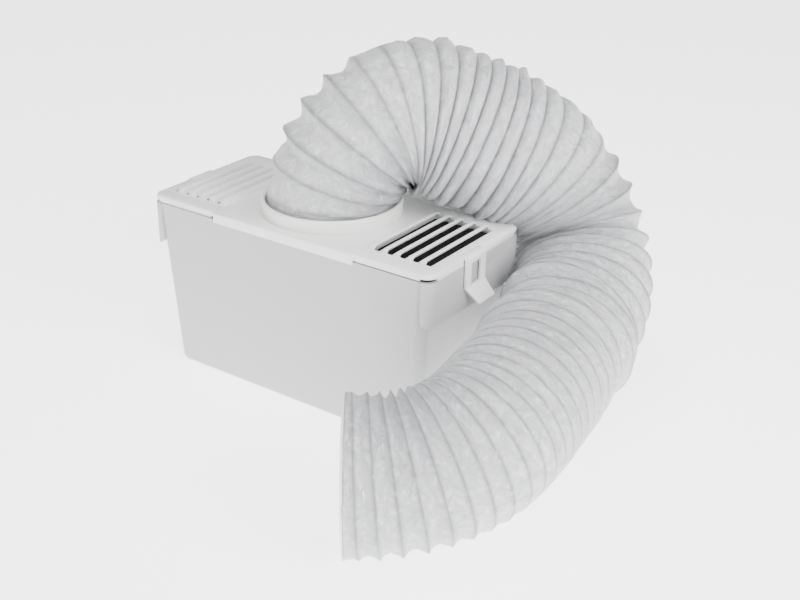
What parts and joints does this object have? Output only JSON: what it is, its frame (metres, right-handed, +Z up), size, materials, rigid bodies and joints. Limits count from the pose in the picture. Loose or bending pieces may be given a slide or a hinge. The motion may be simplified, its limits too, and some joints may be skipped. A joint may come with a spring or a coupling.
{
  "type": "dryer_condenser_box",
  "caption": "White plastic indoor condenser box for a vented tumble dryer, with louvred lid, side latches, removable cooling packs and a white wire-helix vent hose laid round its end.",
  "frame": {"origin": "on the ground under the middle of the box, which stands on its feet", "axes": "+X along the box's length to the right end, round which the hose lies; -Y the long front face; +Z up"},
  "size_m": [0.4246, 0.4011, 0.2852],
  "materials": {
    "tub_plastic": "satin",
    "lid_plastic": "satin",
    "seal_foam": "matte",
    "screw_steel": "satin",
    "foot_rubber": "matte",
    "hose_film": "satin",
    "pack_film": "satin",
    "cap_plastic": "satin",
    "rack_plastic": "satin"
  },
  "bodies": {
    "tub": {"tub": "tub_plastic", "foot_front_left": "foot_rubber", "foot_front_right": "foot_rubber", "foot_back_left": "foot_rubber", "foot_back_right": "foot_rubber", "pack_rack": "rack_plastic"},
    "lid": {"lid": "lid_plastic", "louvre_left": "lid_plastic", "louvre_right": "lid_plastic", "lid_seal": "seal_foam", "filter_left": "seal_foam", "filter_right": "seal_foam", "hose_collar": "lid_plastic", "duct_spigot": "lid_plastic", "spigot_screws": "screw_steel", "air_deflector": "lid_plastic", "latch_pin_left": "screw_steel", "latch_pin_right": "screw_steel", "hose": "hose_film", "hose_end_ring": "hose_film"},
    "latch_left": {"latch_left": "lid_plastic"},
    "latch_right": {"latch_right": "lid_plastic"},
    "pack_left": {"pack_left": "pack_film"},
    "pack_right": {"pack_right": "pack_film"},
    "cap_left": {"cap_left": "cap_plastic"},
    "cap_right": {"cap_right": "cap_plastic"}
  },
  "joints": [
    {"name": "lid_lift", "type": "slide", "parent": "tub", "child": "lid", "axis": [0, 0, 1], "range_m": [0, 0.1]},
    {"name": "latch_left_swing", "type": "hinge", "parent": "lid", "child": "latch_left", "pos_m": [-0.1374, -0.006, 0.1538], "axis": [0, 1, 0], "range_deg": [0, 90]},
    {"name": "latch_right_swing", "type": "hinge", "parent": "lid", "child": "latch_right", "pos_m": [0.1374, -0.006, 0.1538], "axis": [0, -1, 0], "range_deg": [0, 90]},
    {"name": "pack_left_lift", "type": "slide", "parent": "tub", "child": "pack_left", "axis": [0, 0, 1], "range_m": [0, 0.05]},
    {"name": "pack_right_lift", "type": "slide", "parent": "tub", "child": "pack_right", "axis": [0, 0, 1], "range_m": [0, 0.05]},
    {"name": "cap_left_turn", "type": "hinge", "parent": "pack_left", "child": "cap_left", "pos_m": [-0.108, 0, 0.0295], "axis": [-1, 0, 0], "continuous": true},
    {"name": "cap_right_turn", "type": "hinge", "parent": "pack_right", "child": "cap_right", "pos_m": [0.108, 0, 0.0295], "axis": [1, 0, 0], "continuous": true}
  ]
}
